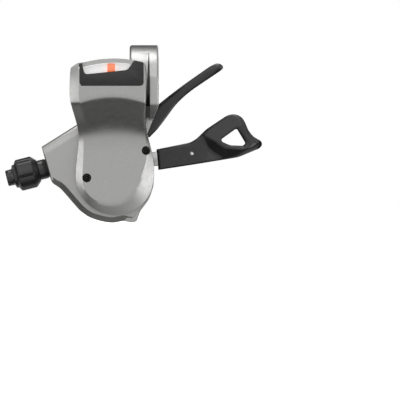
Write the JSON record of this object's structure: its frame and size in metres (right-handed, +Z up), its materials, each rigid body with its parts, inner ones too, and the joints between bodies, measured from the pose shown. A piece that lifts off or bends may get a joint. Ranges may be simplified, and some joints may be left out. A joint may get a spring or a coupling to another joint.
{
  "type": "flat bar trigger shifter",
  "caption": "Handlebar-clamped trigger shifter with a ringed thumb lever, a thin release lever, a cable adjuster and a gear indicator window.",
  "frame": {"origin": "centre of the handlebar clamp's bore", "axes": "+X along the handlebar towards the grip, +Z up across the bar away from the levers, the indicator window faces -Y"},
  "size_m": [0.1031, 0.0513, 0.071],
  "materials": {
    "silver_paint": "satin metallic silver-grey",
    "black_plastic": "satin black",
    "display_black": "semi-gloss black",
    "clear_lens": "clear",
    "white_scale": "matt white",
    "orange_needle": "bright orange",
    "steel": "brushed",
    "black_steel": "black oxide",
    "bronze": "machined",
    "drum_plastic": "moulded dark grey"
  },
  "bodies": {
    "frame": {"clamp_bracket": "silver_paint", "clamp_bolt": "black_steel", "bracket_screw_front": "steel", "bracket_screw_back": "steel", "base_housing": "silver_paint", "cable_port_cap": "black_plastic", "rear_cover": "silver_paint", "rear_screw_horn": "black_steel", "rear_screw_lower": "black_steel", "frame_plate": "steel", "frame_screw_left": "steel", "frame_screw_right": "steel", "front_cover": "silver_paint", "cover_screw_left": "black_steel", "cover_screw_right": "black_steel", "display_bezel": "display_black", "window_lens": "clear_lens", "scale_plate": "white_scale", "indicator_tray": "black_plastic", "hood_back_plate": "black_plastic", "main_axle": "steel", "axle_nut": "steel", "axle_washer": "steel", "drum_bush": "bronze", "stop_pawl_pin": "steel", "release_return_spring": "steel", "lever_return_spring": "steel"},
    "drum": {"cable_drum": "drum_plastic", "ratchet_wheel": "steel"},
    "needle": {"indicator_needle": "orange_needle"},
    "main_lever": {"main_lever_plate": "steel", "thumb_pad": "black_plastic", "thumb_pad_pin": "steel", "feed_pawl_pin": "steel"},
    "feed_pawl": {"feed_pawl": "steel"},
    "stop_pawl": {"stop_pawl": "steel"},
    "release_lever": {"release_lever_plate": "steel", "release_grip": "black_plastic"},
    "detent_collar": {"detent_collar": "black_plastic", "adjuster_spring": "steel"},
    "adjuster": {"adjuster_screw": "steel", "adjuster_barrel": "black_plastic"}
  },
  "joints": [
    {"name": "main_lever_swing", "type": "hinge", "parent": "frame", "child": "main_lever", "pos_m": [-0.012, 0, -0.038], "axis": [0, -1, 0], "range_deg": [0, 38], "stiffness_Nm_per_rad": 0.12, "springref_deg": -20.05},
    {"name": "feed_pawl_swing", "type": "hinge", "parent": "main_lever", "child": "feed_pawl", "pos_m": [-0.02318, 0, -0.04207], "axis": [0, 1, 0], "range_deg": [0, 8], "stiffness_Nm_per_rad": 0.002, "springref_deg": -17.19},
    {"name": "release_lever_swing", "type": "hinge", "parent": "frame", "child": "release_lever", "pos_m": [-0.012, 0, -0.038], "axis": [0, 1, 0], "range_deg": [0, 14], "stiffness_Nm_per_rad": 0.12, "springref_deg": -17.19},
    {"name": "stop_pawl_swing", "type": "hinge", "parent": "frame", "child": "stop_pawl", "pos_m": [-0.00605, 0, -0.04831], "axis": [0, 1, 0], "range_deg": [0, 8]},
    {"name": "drum_turn", "type": "hinge", "parent": "frame", "child": "drum", "pos_m": [-0.012, 0, -0.038], "axis": [0, -1, 0], "range_deg": [-30, 30]},
    {"name": "needle_swing", "type": "hinge", "parent": "frame", "child": "needle", "pos_m": [-0.012, 0, -0.038], "axis": [0, -1, 0], "range_deg": [-8.5, 8.5]},
    {"name": "adjuster_travel", "type": "slide", "parent": "frame", "child": "detent_collar", "axis": [-0.969, 0, -0.247], "range_m": [0, 0.0024]},
    {"name": "adjuster_turn", "type": "hinge", "parent": "detent_collar", "child": "adjuster", "pos_m": [-0.0391, 0.009, -0.0347], "axis": [-0.969, 0, -0.247], "range_deg": [0, 1080]}
  ],
  "couplings": [
    {"joint": "stop_pawl_swing", "follows": "release_lever_swing", "ratio": 0.55},
    {"joint": "needle_swing", "follows": "drum_turn", "ratio": 0.28},
    {"joint": "adjuster_turn", "follows": "adjuster_travel", "rad_per_m": 7854}
  ]
}
